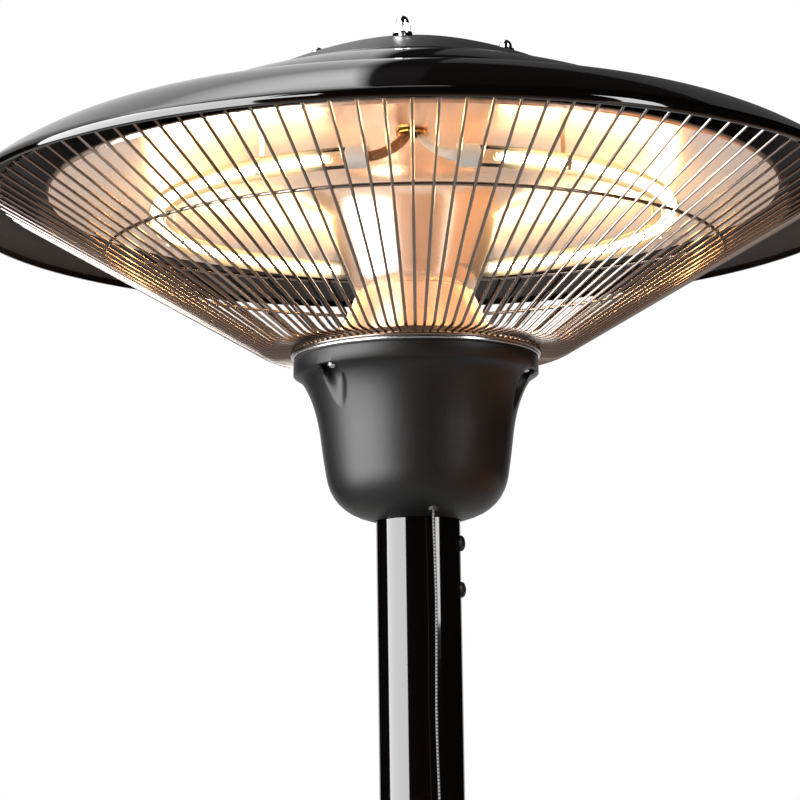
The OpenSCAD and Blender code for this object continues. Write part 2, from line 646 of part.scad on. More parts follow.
module base_cover() color([0.05, 0.05, 0.05]) difference() {
    rotate_extrude($fn = 180) polygon(concat(cover_profile(),
        [for (i = [len(cover_profile()) - 1:-1:0]) let (p = cover_profile()[i])
            [max(tube_r + 1.2, p[0] - base_cover_t), max(mat_t + 0.5, p[1] - base_cover_t)]]));
    for (a = [45:90:315]) rotate([0, 0, a]) translate([bolt_r, 0, 0])
        cylinder(r = 4.3, h = 100, $fn = 32);
}

module base_weight() color([0.55, 0.54, 0.52]) difference() {
    rotate_extrude($fn = 180) polygon([[tube_in - 4, mat_t], [base_r - 10, mat_t], [base_r - 8, 14],
        [base_r - 22, 24], [base_r - 60, 30], [90, 39], [60, pole_foot - 4 - base_cover_t],
        [tube_in - 4, pole_foot - 4 - base_cover_t]]);
    for (a = [45:90:315]) rotate([0, 0, a]) translate([bolt_r, 0, 0]) {
        cylinder(r = 4.3, h = 100, $fn = 32);
        cylinder(r = 9, h = mat_t + 11, $fn = 48);
    }
}

module base_mat() color([0.1, 0.1, 0.1]) cylinder(r = base_r - 22, h = mat_t, $fn = 180);

// ---------- cable entry and inner lead ----------

module cable_gland() color([0.08, 0.08, 0.08]) translate([0, 0, gland_z]) rotate([-90, 0, 0])
    difference() {
        union() {
            translate([0, 0, tube_r - 6]) cylinder(r = 6, h = 20, $fn = 48);
            translate([0, 0, pole_r + 0.8]) cylinder(d = 18, h = 4, $fn = 6);
        }
        cylinder(r = 3.8, h = 80, $fn = 48);
    }

module gland_nut() color([0.08, 0.08, 0.08]) translate([0, 0, gland_z]) rotate([-90, 0, 0])
    rotate_extrude($fn = 48) polygon([[6.1, pole_r + 5], [9, pole_r + 5], [9, pole_r + 13],
        [6.5, pole_r + 17], [3.8, pole_r + 17], [3.8, pole_r + 14.5], [6.1, pole_r + 14.5]]);

// Inner lead, held all the way: gland, up the pole, out of the neck tube's slot.
lead_rise = [[0, 34, 0], [0, 24, 0], [0, 17, 1], [0, 9, 5], [0, 3, 14], [0, 0, 34], [1, -2, 120],
    [0, 0, 240]];

module supply_lead() color([0.12, 0.12, 0.12]) sweep(concat(
    [for (p = lead_rise) p + [0, 0, gland_z]],
    [for (i = [1:8]) [i % 2 == 0 ? 1 : -1, 1, gland_z + 240 + i * (pole_top - gland_z - 260) / 9]],
    [[0, 0, pole_top - 20], [0, 0, rim_z - 170], on_ring(block_az, 4, rim_z - 158),
        on_ring(block_az, 12, rim_z - 151), on_ring(block_az, 24, rim_z - 150),
        on_ring(block_az, 34, rim_z - 148), on_ring(block_az, 39, rim_z - 143),
        on_ring(block_az, 40, rim_z - 137), on_ring(block_az, 40, rim_z + block_z)]),
    3, [1, 0.02, 0.01], 10);

// ---------- assembly ----------

acorn_nuts();
top_cap();
hood();
hood_studs();
hood_spacers();
carrier_plate();
center_tube();
center_tube_nuts();
reflector();
lower_cone();
lamp_left();
lamp_right();
filament_left();
filament_right();
lamp_caps();
lamp_clips();
lamp_leads();
lead_grommets();
guard_wires();
guard_outer_ring();
guard_middle_ring();
guard_bottom_ring();
guard_clips();
cone_seat();
mounting_plate();
housing_gasket();
bell_housing();
bell_screws();
neck_tube();
neck_screws();
pull_switch_case();
pull_switch_cover();
switch_lever();
contact_drum();
switch_pins();
return_spring();
switch_wires();
cord_grommet();
cord_stirrup();
pull_cord();
pull_knob();
terminal_block();
terminal_screws();
tilt_switch_case();
tilt_pendulum();
tilt_pin();
pole_upper();
pole_middle();
pole_lower();
joint_sleeves();
joint_screws();
base_socket();
base_bolts();
base_nuts();
base_cover();
base_weight();
base_mat();
cable_gland();
gland_nut();
supply_lead();
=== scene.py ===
"""Patio heater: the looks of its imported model, from the pull cord and the hood down to the base."""
import json

import bmesh
import bpy
import numpy as np
from mathutils import Matrix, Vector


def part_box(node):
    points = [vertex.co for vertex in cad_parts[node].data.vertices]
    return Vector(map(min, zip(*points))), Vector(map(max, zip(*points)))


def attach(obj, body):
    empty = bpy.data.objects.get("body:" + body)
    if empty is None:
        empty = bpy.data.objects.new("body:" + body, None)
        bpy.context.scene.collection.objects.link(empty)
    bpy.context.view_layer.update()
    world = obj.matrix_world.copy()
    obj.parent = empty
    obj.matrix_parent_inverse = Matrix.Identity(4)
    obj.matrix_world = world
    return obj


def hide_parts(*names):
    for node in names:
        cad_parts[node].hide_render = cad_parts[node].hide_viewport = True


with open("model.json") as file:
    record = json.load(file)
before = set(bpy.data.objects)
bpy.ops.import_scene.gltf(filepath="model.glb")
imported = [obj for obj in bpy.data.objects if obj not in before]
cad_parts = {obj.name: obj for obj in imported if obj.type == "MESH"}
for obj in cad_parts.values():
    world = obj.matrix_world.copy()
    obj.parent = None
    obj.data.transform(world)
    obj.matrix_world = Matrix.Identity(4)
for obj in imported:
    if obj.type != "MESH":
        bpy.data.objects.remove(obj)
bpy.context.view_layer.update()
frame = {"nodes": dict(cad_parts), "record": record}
mm = 0.001

# ---- Camera ----
# It stands a little below the hood's edge and looks up under it, with a slight roll.
rim_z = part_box("hood")[0].z + 0.5 * mm


def put(name, contents):
    """Puts a mesh, camera or light into the scene as a new object."""
    made = bpy.data.objects.new(name, contents)
    bpy.context.scene.collection.objects.link(made)
    return made


camera = put("camera", bpy.data.cameras.new("camera"))
bpy.context.scene.camera = camera
camera.data.sensor_width = 36
camera.data.lens = 124.25
camera.data.clip_end = 60
camera_pitch, camera_yaw, camera_roll = np.radians([99.34, 0.345, -0.80])
camera.matrix_world = (
    Matrix.Translation((0, -1.7535, rim_z - 0.408))
    @ Matrix.Rotation(camera_yaw, 4, "Z")
    @ Matrix.Rotation(camera_pitch, 4, "X")
    @ Matrix.Rotation(camera_roll, 4, "Z")
)


# ---- Pull cord ----
# A braided polyester cord, 1.6 mm thick, from the stirrup of the pull switch through the
# housing's grommet to its knob. It is limp and hangs 11 mm clear of the pole.
def linear(colour):
    """Linear light from an sRGB hex colour: a channel over 12.92 where dark, else its 2.4 power."""
    part = np.array([int(colour[i:i + 2], 16) for i in (0, 2, 4)]) / 255
    light = np.where(part <= 0.04045, part / 12.92, ((part + 0.055) / 1.055) ** 2.4)
    return (*(float(value) for value in light), 1.0)


def add(tree, kind, inputs=None, **settings):
    """Adds a node to a material, with its settings, and its sockets' values or links."""
    made = tree.nodes.new(kind)
    for name, value in settings.items():
        setattr(made, name, value)
    for name, value in (inputs or {}).items():
        if isinstance(value, bpy.types.NodeSocket):
            tree.links.new(value, made.inputs[name])
        else:
            made.inputs[name].default_value = value
    return made


def empty_material(name):
    """A new material with nothing in its node tree."""
    made = bpy.data.materials.new(name)
    made.use_nodes = True
    made.node_tree.nodes.clear()
    return made, made.node_tree


def start_finish(name, **looks):
    """A new material with one Principled shader, whose sockets take the values in looks."""
    made, tree = empty_material(name)
    skin = add(tree, "ShaderNodeBsdfPrincipled", {
        key.replace("_", " "): value for key, value in looks.items()})
    add(tree, "ShaderNodeOutputMaterial", {"Surface": skin.outputs[0]})
    return made, tree, skin


def smooth(mesh, edge):
    """Shades a mesh smooth but for its edges over edge degrees."""
    mesh.polygons.foreach_set("use_smooth", np.ones(len(mesh.polygons), bool))
    mesh.set_sharp_from_angle(angle=np.radians(edge))


def mesh_of(points, ring=False, edge=35):
    """A closed mesh over a grid of points: rows of loops, one grid or a stack of them.

    Each row is a closed loop and neighbouring rows are joined by four-cornered faces; ring
    also joins the last row to the first. The UV map holds metres along the rows and the
    part of a turn round them. Edges sharper than edge degrees stay sharp.
    """
    points = np.asarray(points, float)
    points = points[None] if points.ndim == 3 else points
    count, rows, around = points.shape[:3]
    index = np.arange(count * rows * around).reshape(count, rows, around)
    middle = points.mean(2)
    run = np.cumsum(np.linalg.norm(np.diff(middle, axis=1, append=middle[:, :1]), axis=2), axis=1)
    run = np.concatenate([np.zeros((count, 1)), run], axis=1)
    last = rows if ring else rows - 1
    near, far = index[:, :last], np.roll(index, -1, 1)[:, :last]
    quads = np.stack([near, np.roll(near, -1, 2), np.roll(far, -1, 2), far], -1).reshape(-1, 4)
    turn = np.arange(around) / around
    u_near = np.broadcast_to(run[:, :last, None], near.shape)
    u_far = np.broadcast_to(run[:, 1:last + 1, None], near.shape)
    v_here = np.broadcast_to(turn, near.shape)
    v_next = v_here + 1 / around
    uv = np.stack([np.stack([u_near, u_near, u_far, u_far], -1),
                   np.stack([v_here, v_next, v_next, v_here], -1)], -1)
    mesh = bpy.data.meshes.new("surface")
    mesh.from_pydata(points.reshape(-1, 3).tolist(), [], quads.tolist())
    mesh.uv_layers.new(name="UVMap").uv.foreach_set("vector", uv.reshape(-1))
    work = bmesh.new()
    work.from_mesh(mesh)
    bmesh.ops.remove_doubles(work, verts=work.verts, dist=0.2e-6)
    bmesh.ops.recalc_face_normals(work, faces=work.faces)
    work.to_mesh(mesh)
    work.free()
    smooth(mesh, edge)
    return mesh


def tube(path, radius, around=8, closed=False, up=(0, 0, 1)):
    """Loops of points round a path: circles of the radius, square to the path, starting on the
    side that is the path's direction crossed with up. An open tube's ends draw in to a point."""
    path = np.asarray(path, float)
    radius = np.broadcast_to(np.asarray(radius, float), len(path))
    ahead = np.roll(path, -1, 0) - np.roll(path, 1, 0) if closed else np.gradient(path, axis=0)
    if not closed:
        path = np.concatenate([path[:1], path, path[-1:]])
        ahead = np.concatenate([ahead[:1], ahead, ahead[-1:]])
        radius = np.concatenate([[0], radius, [0]])
    ahead = ahead / np.linalg.norm(ahead, axis=1, keepdims=True)
    side = np.cross(ahead, up)
    side /= np.linalg.norm(side, axis=1, keepdims=True)
    over = np.cross(side, ahead)
    turn = np.linspace(0, 2 * np.pi, around, endpoint=False)[None, :, None]
    return path[:, None] + radius[:, None, None] * (
        side[:, None] * np.cos(turn) + over[:, None] * np.sin(turn))


def bend(a, b, c, steps=12):
    """Points of the curve that leaves a towards b and reaches c from b: a (1-t)^2 + 2 b t(1-t) + c t^2."""
    t = np.linspace(0, 1, steps + 1)[:, None]
    return np.array(a) * (1 - t) ** 2 + np.array(b) * 2 * t * (1 - t) + np.array(c) * t ** 2


def smooth_line(points, per_step):
    """A curve through the points: between two of them, a cubic whose slope at each point is half
    the way between that point's neighbours."""
    p = np.asarray(points, float)
    before, here, there, after = p[:-3], p[1:-2], p[2:-1], p[3:]
    t = np.linspace(0, 1, per_step, endpoint=False)[None, :, None]
    here, there, before, after = here[:, None], there[:, None], before[:, None], after[:, None]
    line = 0.5 * (2 * here + (there - before) * t + (2 * before - 5 * here + 4 * there - after) * t ** 2
                  + (3 * here - before - 3 * there + after) * t ** 3)
    return np.concatenate([line.reshape(-1, 3), p[-2:-1]])


def around_axis(azimuth, radius, height):
    """Points at an azimuth in degrees, counted from the front towards the right, at a radius from
    the pole's axis and at a height."""
    turn = np.radians(azimuth)
    return np.stack(np.broadcast_arrays(radius * np.sin(turn), -radius * np.cos(turn), height), -1)


slot_of = {part["node"]: part["material_slot"] for part in frame["record"]["subparts"]}
body_of = {node: body for body, nodes in frame["record"]["behaviour"]["bodies"].items()
           for node in nodes}


def make_piece(name, mesh, material, *nodes):
    """Puts a mesh into the scene as the piece that stands for the CAD nodes, on their body."""
    piece = put(name, mesh)
    mesh.materials.clear()
    mesh.materials.append(material)
    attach(piece, body_of[nodes[0]])
    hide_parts(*nodes)
    return piece


def refine(node, material, edge=30, rounding=0.0):
    """A copy of a CAD node with its triangles joined, smooth but for edges over edge degrees, and
    its corners rounded by rounding metres."""
    mesh = frame["nodes"][node].data.copy()
    work = bmesh.new()
    work.from_mesh(mesh)
    bmesh.ops.remove_doubles(work, verts=work.verts, dist=2e-6)
    if rounding:
        bmesh.ops.dissolve_limit(work, angle_limit=np.radians(1), verts=work.verts, edges=work.edges)
    work.to_mesh(mesh)
    work.free()
    smooth(mesh, edge)
    piece = make_piece(node + "_finished", mesh, material, node)
    if rounding:
        soften = piece.modifiers.new("rounded corners", "BEVEL")
        soften.width = rounding
        soften.segments = 3
        soften.limit_method = "ANGLE"
        soften.angle_limit = np.radians(40)
        soften.harden_normals = False
    return piece


# Braided polyester: strands plaited both ways, 2.2 mm apart, which is coarse enough to show.
# Pale grey and dull, with painted shade in the dips between the strands, and its colour is darkened
# towards its sides as painted shade, so it looks like a thin line.
braid_finish, tree, skin = start_finish("braided_polyester", Roughness=0.75, IOR=1.5)
uv = add(tree, "ShaderNodeUVMap", uv_map="UVMap").outputs[0]
strand = 2.2 * mm
strand_turns = 2
split = add(tree, "ShaderNodeSeparateXYZ", {0: uv})
waves = []
for way in (1, -1):
    run = add(tree, "ShaderNodeMath", {0: split.outputs[0], 1: 2 * np.pi / strand}, operation="MULTIPLY")
    lean = add(tree, "ShaderNodeMath", {0: split.outputs[1], 1: way * 2 * np.pi * strand_turns},
               operation="MULTIPLY")
    slant = add(tree, "ShaderNodeMath", {0: run.outputs[0], 1: lean.outputs[0]}, operation="ADD")
    waves.append(add(tree, "ShaderNodeMath", {0: slant.outputs[0]}, operation="SINE").outputs[0])
plait = add(tree, "ShaderNodeMath", {0: waves[0], 1: waves[1]}, operation="MAXIMUM")
# Painted shade: the dips between the strands are darker than their crowns.
strands = add(tree, "ShaderNodeValToRGB", {0: plait.outputs[0]})
for stop, colour, place in zip(strands.color_ramp.elements, ("2a2a26", "c9c8bb"), (0.2, 0.95)):
    stop.color = linear(colour)
    stop.position = place
# Painted shade: the colour darkens towards the cord's sides, where it turns away from the view.
turn_away = add(tree, "ShaderNodeLayerWeight", {"Blend": 0.5})
painted_side_shade = add(tree, "ShaderNodeMapRange", {"Value": turn_away.outputs["Facing"], "From Min": 0.04,
                                         "From Max": 0.3, "To Min": 1.0, "To Max": 0.1})
strands_with_painted_side_shade = add(tree, "ShaderNodeVectorMath", {0: strands.outputs[0], "Scale": painted_side_shade.outputs[0]},
           operation="SCALE")
tree.links.new(strands_with_painted_side_shade.outputs[0], skin.inputs["Base Color"])
ridges = add(tree, "ShaderNodeBump", {"Height": plait.outputs[0], "Distance": 0.15 * mm})
tree.links.new(ridges.outputs[0], skin.inputs["Normal"])

cord_azimuth = 14.4
cord_radius = 38.7 * mm
cord_top = rim_z - 163.655 * mm
cord_thick = 1.6 * mm
cord_route = np.array([
    [0, 0, 0], [0, 0, -20], [0, 0, -42], [0.4, 0, -60], [0.8, 0.2, -85], [0.6, 0.5, -110],
    [0.2, 0.4, -135], [0, 0, -160], [0.4, -0.3, -185], [0.9, 0, -210], [1.1, 0.4, -240],
    [0.7, 0.6, -270], [0.2, 0.3, -300], [0, 0, -335], [0.2, -0.2, -370], [0.3, 0, -410],
    [0, 0, -450]]) * mm
hang_from = around_axis(cord_azimuth, cord_radius, cord_top)
outwards, sideways = around_axis(np.array([cord_azimuth, cord_azimuth + 90]), 1.0, 0.0)
cord_points = hang_from + cord_route[:, :1] * sideways + cord_route[:, 1:2] * outwards
cord_points[:, 2] += cord_route[:, 2]
ends = np.stack([2 * cord_points[0] - cord_points[1], 2 * cord_points[-1] - cord_points[-2]])
cord_line = smooth_line(np.concatenate([ends[:1], cord_points, ends[1:]]), 12)
pull_cord = make_piece("pull_cord_braid", mesh_of(tube(cord_line, cord_thick / 2, 12, up=(0, 1, 0))),
                       braid_finish, "pull_cord")

# Its knob is a bell of moulded black plastic, satin and faintly uneven, with a hole for the knot.
knob_finish, tree, skin = start_finish("moulded_abs_knob", Base_Color=linear("141414"), IOR=1.53)


def fine_relief(tree, skin, grain, depth, stretch=(1, 1, 1)):
    """Small bumps: noise with lumps of the grain size, stretched along the axes, raised by depth."""
    place = add(tree, "ShaderNodeTexCoord").outputs["Object"]
    scaled = add(tree, "ShaderNodeMapping", {"Vector": place, "Scale": stretch})
    lumps = add(tree, "ShaderNodeTexNoise", {"Vector": scaled.outputs[0], "Scale": 1 / grain,
                                             "Detail": 3.0, "Roughness": 0.55})
    bumps = add(tree, "ShaderNodeBump", {"Height": lumps.outputs[0], "Distance": depth})
    tree.links.new(bumps.outputs[0], skin.inputs["Normal"])
    return lumps.outputs[0]


def mottle(tree, skin, pattern, socket, low, high):
    """Lets a pattern move a socket between two values or two colours."""
    ramp = add(tree, "ShaderNodeValToRGB", {0: pattern})
    ramp.color_ramp.elements[0].position = 0.3
    ramp.color_ramp.elements[1].position = 0.7
    for stop, value in zip(ramp.color_ramp.elements, (low, high)):
        stop.color = value if isinstance(value, tuple) else (value, value, value, 1.0)
    tree.links.new(ramp.outputs[0], skin.inputs[socket])


grain = fine_relief(tree, skin, 1.2 * mm, 0.03 * mm)
mottle(tree, skin, grain, "Roughness", 0.3, 0.42)
pull_knob = refine("pull_knob", knob_finish, rounding=0.4 * mm)


# ---- Hood ----
# One spun steel sheet, 1.2 mm thick, with a rolled edge and a raised inner step, in gloss black
# enamel. A faint orange peel, 14 mm wide, softens the edges of what it mirrors.
def turned(profile, steps=240):
    """Loops of points of a turned shape: its outline of radius and height, in millimetres about
    the hood's edge, carried round the pole's axis. Row i holds the outline turned by i steps."""
    profile = np.asarray(profile, float) * mm
    turn = np.linspace(0, 360, steps, endpoint=False)[:, None]
    return around_axis(turn, profile[None, :, 0], rim_z + profile[None, :, 1])


def sheet(outer, back):
    """The closed outline of a sheet: one side's points, then the same points set back."""
    outer = np.asarray(outer, float)
    other = outer[::-1] + np.array(back)
    other[:, 0] = np.maximum(other[:, 0], 0)
    return np.concatenate([outer, other])


enamel, tree, skin = start_finish("gloss_black_enamel", Base_Color=linear("0b0706"), IOR=1.5)
peel = fine_relief(tree, skin, 14 * mm, 0.006 * mm)
mottle(tree, skin, peel, "Roughness", 0.035, 0.06)

hood_edge = [(292.6, -0.5), (293.6, -0.5), (294.5, -0.3), (295, 0.4), (295, 3.0), (294.8, 3.9)]
hood_side = bend((294.2, 5.2), (244, 48), (191, 43.6), 28)
hood_step = bend((190, 48.8), (157, 71), (115, 80), 16)
hood_top = [(100, 82.6), (92, 83.5), (0, 83.5)]
hood_outer = np.concatenate([hood_edge, hood_side, [(190.4, 44.2), (190, 46)], hood_step, hood_top])
hood_wall = np.array((-0.72, -1.08))
hood_inner = np.concatenate([hood_side, [(190, 46)], hood_step, hood_top]) + hood_wall
hood_inner[:, 0] = np.maximum(hood_inner[:, 0], 0)
hood = make_piece("hood_sheet", mesh_of(turned(np.concatenate([hood_outer, hood_inner[::-1]]), 360),
                                        ring=True, edge=50), enamel, "hood")
# Inside, the enamel is a thin dry overspray: matt, brown-black and speckled.
overspray, tree, skin = start_finish("matt_enamel_overspray", Roughness=0.6, IOR=1.5)
speckle = fine_relief(tree, skin, 1.6 * mm, 0.04 * mm)
mottle(tree, skin, speckle, "Base Color", linear("130c0b"), linear("241613"))
hood.data.materials.append(overspray)
faces = len(hood.data.polygons)
normals, centres = np.empty(faces * 3), np.empty(faces * 3)
hood.data.polygons.foreach_get("normal", normals)
hood.data.polygons.foreach_get("center", centres)
normals, centres = normals.reshape(-1, 3), centres.reshape(-1, 3)
from_axis = np.linalg.norm(centres[:, :2], axis=1)
lip_inside = 292.3 * mm
inner_side = (normals[:, 2] < 0) & (from_axis < lip_inside)
hood.data.polygons.foreach_set("material_index", inner_side.astype(np.int32))

# ---- Top cap ----
# A small spun cap over the middle of the hood, in sandy satin powder coat, whose grains break up
# its shine.
powder, tree, skin = start_finish("sandy_black_powder_coat", Base_Color=linear("090909"),
                                  Roughness=0.38, IOR=1.5)
fine_relief(tree, skin, 0.9 * mm, 0.05 * mm)
cap_top = np.concatenate([[(115, 80.5)], bend((115, 81.8), (58, 112), (0, 119.5), 24)])
make_piece("top_cap_sheet", mesh_of(turned(sheet(cap_top, (-1.5, -1.2)), 240), ring=True), powder,
           "top_cap")

# Four acorn nuts on the hood's studs, in nickel plate that is almost a mirror.
plated, tree, skin = start_finish("bright_nickel_plate", Base_Color=linear("d6d6d8"), Metallic=1.0,
                                  Roughness=0.14)
fine_relief(tree, skin, 0.8 * mm, 0.01 * mm)
refine("acorn_nuts", plated, rounding=0.25 * mm)

# ---- Reflector and lower cone ----
# Spun aluminium, 1 mm thick, polished to a soft mirror whose warm tint is painted glow of the lamps: a
# wide dish that turns down into a column round the middle, and a small cone below the joint.
polished, tree, skin = start_finish("polished_spun_aluminium", Base_Color=linear("ffe6d2"),
                                    Metallic=0.8, Roughness=0.24)
place = add(tree, "ShaderNodeTexCoord").outputs["Object"]
apart = add(tree, "ShaderNodeSeparateXYZ", {0: place})
radius = add(tree, "ShaderNodeVectorMath", {0: add(tree, "ShaderNodeCombineXYZ", {
    0: apart.outputs[0], 1: apart.outputs[1]}).outputs[0]}, operation="LENGTH")
rings = add(tree, "ShaderNodeCombineXYZ", {0: radius.outputs["Value"], 2: apart.outputs[2]})
# Spinning lines 2 mm apart run round the axis, and waves some 60 mm long bend what it mirrors.
lines = add(tree, "ShaderNodeTexNoise", {"Vector": rings.outputs[0], "Scale": 1 / (2 * mm),
                                         "Detail": 2.0})
ripple = add(tree, "ShaderNodeTexNoise", {"Vector": place, "Scale": 1 / (60 * mm), "Detail": 1.0})
fine = add(tree, "ShaderNodeBump", {"Height": lines.outputs[0], "Distance": 0.012 * mm})
waved = add(tree, "ShaderNodeBump", {"Height": ripple.outputs[0], "Distance": 0.6 * mm,
                                     "Normal": fine.outputs[0]})
tree.links.new(waved.outputs[0], skin.inputs["Normal"])

dish_line = np.concatenate([
    [(237.2, 14)], bend((236, 12), (190, 19.5), (130, 19), 24),
    bend((90, 19), (62, 17), (56, -6), 20), bend((44, -36), (42.5, -45), (37.6, -49), 10)])
dish_mesh = mesh_of(turned(sheet(dish_line, (0, 1)), 240), ring=True)
dish = make_piece("reflector_dish", dish_mesh, polished, "reflector")
# Two holes let the lamps' leads through, front and back.
lead_hole_at = 148 * mm
lead_hole_radius = 8.2 * mm
drill_reach = rim_z + np.array([10, 30]) * mm
hole_mesh = mesh_of([tube(around_axis(azimuth, lead_hole_at, drill_reach), lead_hole_radius, 32,
                          up=(0, 1, 0)) for azimuth in (0, 180)])
hole = put("lead_holes", hole_mesh)
drill = dish.modifiers.new("lead holes", "BOOLEAN")
drill.object = hole
drill.solver = "EXACT"
drilled = bpy.data.meshes.new_from_object(dish.evaluated_get(bpy.context.evaluated_depsgraph_get()))
dish.modifiers.clear()
dish.data = drilled
bpy.data.objects.remove(hole)
cone_line = np.concatenate([[(37.6, -49.2)], bend((38.2, -50.6), (44, -67), (56, -81.5), 16)])
make_piece("lower_cone_sheet", mesh_of(turned(sheet(cone_line, (-1, -0.4)), 180), ring=True),
           polished, "lower_cone")

# ---- Lamps ----
# Two curved halogen tubes of quartz glass, 13 mm across, in one ring under the dish, each with
# a coiled tungsten filament that is white hot and lights the dish. Their angles are in degrees: the
# half gap between them, the glass beyond the filament, and the coil's way in from there.
lamp_radius = 166 * mm
lamp_gap = 13.5
lamp_end = 3
glass_radius = 6.5 * mm
# Clear quartz that glows yellow-white, deeper at its edges, in the light of its own filament.
quartz, tree = empty_material("glowing_quartz_glass")
facing = add(tree, "ShaderNodeLayerWeight", {"Blend": 0.5}).outputs["Facing"]
heat = add(tree, "ShaderNodeValToRGB", {0: facing})
heat.color_ramp.elements[0].color = linear("fff6d0")
heat.color_ramp.elements[1].color = linear("ffbe58")
brightness = add(tree, "ShaderNodeMapRange", {"Value": facing, "From Min": 0.15, "From Max": 0.85,
                                              "To Min": 2.0, "To Max": 1.0})
# The glow dies away towards the pinched ends, where no filament runs.
along = add(tree, "ShaderNodeSeparateXYZ", {0: add(tree, "ShaderNodeUVMap", uv_map="UVMap").outputs[0]})
tube_length = np.radians(180 - 2 * lamp_gap + 2 * lamp_end) * lamp_radius
first = add(tree, "ShaderNodeMapRange", {"Value": along.outputs[0], "From Min": 0.02, "From Max": 0.04})
last = add(tree, "ShaderNodeMapRange", {"Value": along.outputs[0], "From Min": tube_length - 0.04,
                                        "From Max": tube_length - 0.02, "To Min": 1.0, "To Max": 0.0})
inside = add(tree, "ShaderNodeMath", {0: first.outputs[0], 1: last.outputs[0]}, operation="MULTIPLY")
glow = add(tree, "ShaderNodeEmission", {"Color": heat.outputs[0], "Strength": brightness.outputs[0]})
clear = add(tree, "ShaderNodeBsdfTransparent", {"Color": linear("fff6e8")})
shine = add(tree, "ShaderNodeBsdfGlossy", {"Roughness": 0.03})
rim_light = add(tree, "ShaderNodeFresnel", {"IOR": 1.46}).outputs[0]
share = add(tree, "ShaderNodeMath", {0: inside.outputs[0], 1: 0.75}, operation="MULTIPLY")
lit = add(tree, "ShaderNodeMixShader", {0: share.outputs[0], 1: clear.outputs[0], 2: glow.outputs[0]})
glass = add(tree, "ShaderNodeMixShader", {0: rim_light, 1: lit.outputs[0], 2: shine.outputs[0]})
add(tree, "ShaderNodeOutputMaterial", {"Surface": glass.outputs[0]})


def plain(name, colour, strength):
    """A material that shines evenly with a colour."""
    made, tree = empty_material(name)
    shining = add(tree, "ShaderNodeEmission", {"Color": linear(colour), "Strength": strength})
    add(tree, "ShaderNodeOutputMaterial", {"Surface": shining.outputs[0]})
    return made


# Tungsten wire at white heat, the warm light that the dish throws down.
white_hot = plain("white_hot_tungsten", "ffd596", 165.0)

coil_pitch = 2.4 * mm
coil_radius = 2.2 * mm
coil_wire = 0.5 * mm
coil_start = 5
for side, way in (("right", 1), ("left", -1)):
    arc = way * np.linspace(lamp_gap - lamp_end, 180 - lamp_gap + lamp_end, 120)
    bow = around_axis(arc, lamp_radius, rim_z)
    make_piece(f"lamp_tube_{side}", mesh_of(tube(bow, glass_radius, 20)), quartz, f"lamp_{side}")
    turns = int(np.radians(180 - 2 * lamp_gap) * lamp_radius / coil_pitch)
    step = np.linspace(0, 1, turns * 10)
    wind = step * turns * 2 * np.pi
    coil_at = way * (lamp_gap + coil_start + step * (180 - 2 * lamp_gap - 2 * coil_start))
    coil = around_axis(coil_at, lamp_radius + coil_radius * np.cos(wind),
                       rim_z + coil_radius * np.sin(wind))
    make_piece(f"filament_coil_{side}", mesh_of(tube(coil, coil_wire, 4)), white_hot,
               f"filament_{side}")

# The lamps' ends are cast white ceramic, dull and a little grainy, cemented over the pinched glass.
ceramic, tree, skin = start_finish("white_steatite_ceramic", Base_Color=linear("e9e4dc"),
                                   Roughness=0.5, IOR=1.6)
fine_relief(tree, skin, 1.5 * mm, 0.05 * mm)
refine("lamp_caps", ceramic, rounding=0.5 * mm)
# Spring clips of stainless strip, with level rolling marks and yellowed by the heat, hold the glass.
spring, tree, skin = start_finish("stainless_spring_strip", Base_Color=linear("cfc6b4"),
                                  Metallic=1.0, Roughness=0.25)
fine_relief(tree, skin, 1.0 * mm, 0.02 * mm, (1, 1, 6))
refine("lamp_clips", spring)

# Leads in woven glass sleeve, dull and unevenly browned by the heat, rise through the dish's holes.
sleeving, tree, skin = start_finish("heat_browned_glass_sleeve", Roughness=0.6, IOR=1.5)
weave = fine_relief(tree, skin, 1.1 * mm, 0.12 * mm)
mottle(tree, skin, weave, "Base Color", linear("6d3f22"), linear("b07a4c"))
refine("lamp_leads", sleeving, edge=60)
# Over each lead's first rise goes a thicker sleeve: ribbed and brown, but at the front right a
# tapered winding of white woven tape.
white_sleeve, tree, skin = start_finish("white_woven_glass_tape", Base_Color=linear("e4ddd2"),
                                        Roughness=0.7, IOR=1.5)
fine_relief(tree, skin, 0.9 * mm, 0.1 * mm)
rise = np.array([(9.6, 166, 0), (9.1, 166, 0), (8, 165, 0.5), (6.5, 162, 2.5), (4.5, 157, 6.5),
                 (2.8, 152, 11.5), (1.8, 149, 15.5), (1.5, 148, 18)])
for name, middle, way, finish in (("front_left", 0, -1, sleeving), ("front_right", 0, 1, white_sleeve),
                                  ("rear_left", 180, 1, sleeving), ("rear_right", 180, -1, sleeving)):
    line = smooth_line(around_axis(middle + way * rise[:, 0], rise[:, 1] * mm,
                                   rim_z + rise[:, 2] * mm), 12)
    part = np.linspace(0, 1, len(line))
    thick = (3.9 - 2.0 * part if finish is white_sleeve else 3.1 + 0.25 * np.sin(part * 24 * np.pi)) * mm
    sleeve = put(f"lead_sleeve_{name}", mesh_of(tube(line, thick, 14)))
    sleeve.data.materials.append(finish)
    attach(sleeve, "frame")
# Turned brass eyelets line the holes, bright and faintly worn.
brass, tree, skin = start_finish("turned_brass", Base_Color=linear("d8a64a"), Metallic=1.0,
                                 Roughness=0.2)
fine_relief(tree, skin, 0.7 * mm, 0.02 * mm)
refine("lead_grommets", brass)

# ---- Wire guard ----
# 106 chromed steel wires, 2 mm thick, welded to a top ring, a middle ring and a bottom ring.
# Each bends inwards above the housing and ends on the bottom ring. The chrome is bright but
# greyed, and its warm tint is painted glow of the lamps.
chrome, tree, skin = start_finish("chromed_steel_wire", Base_Color=linear("79716c"), Metallic=1.0,
                                  Roughness=0.22)
fine_relief(tree, skin, 1.5 * mm, 0.01 * mm)

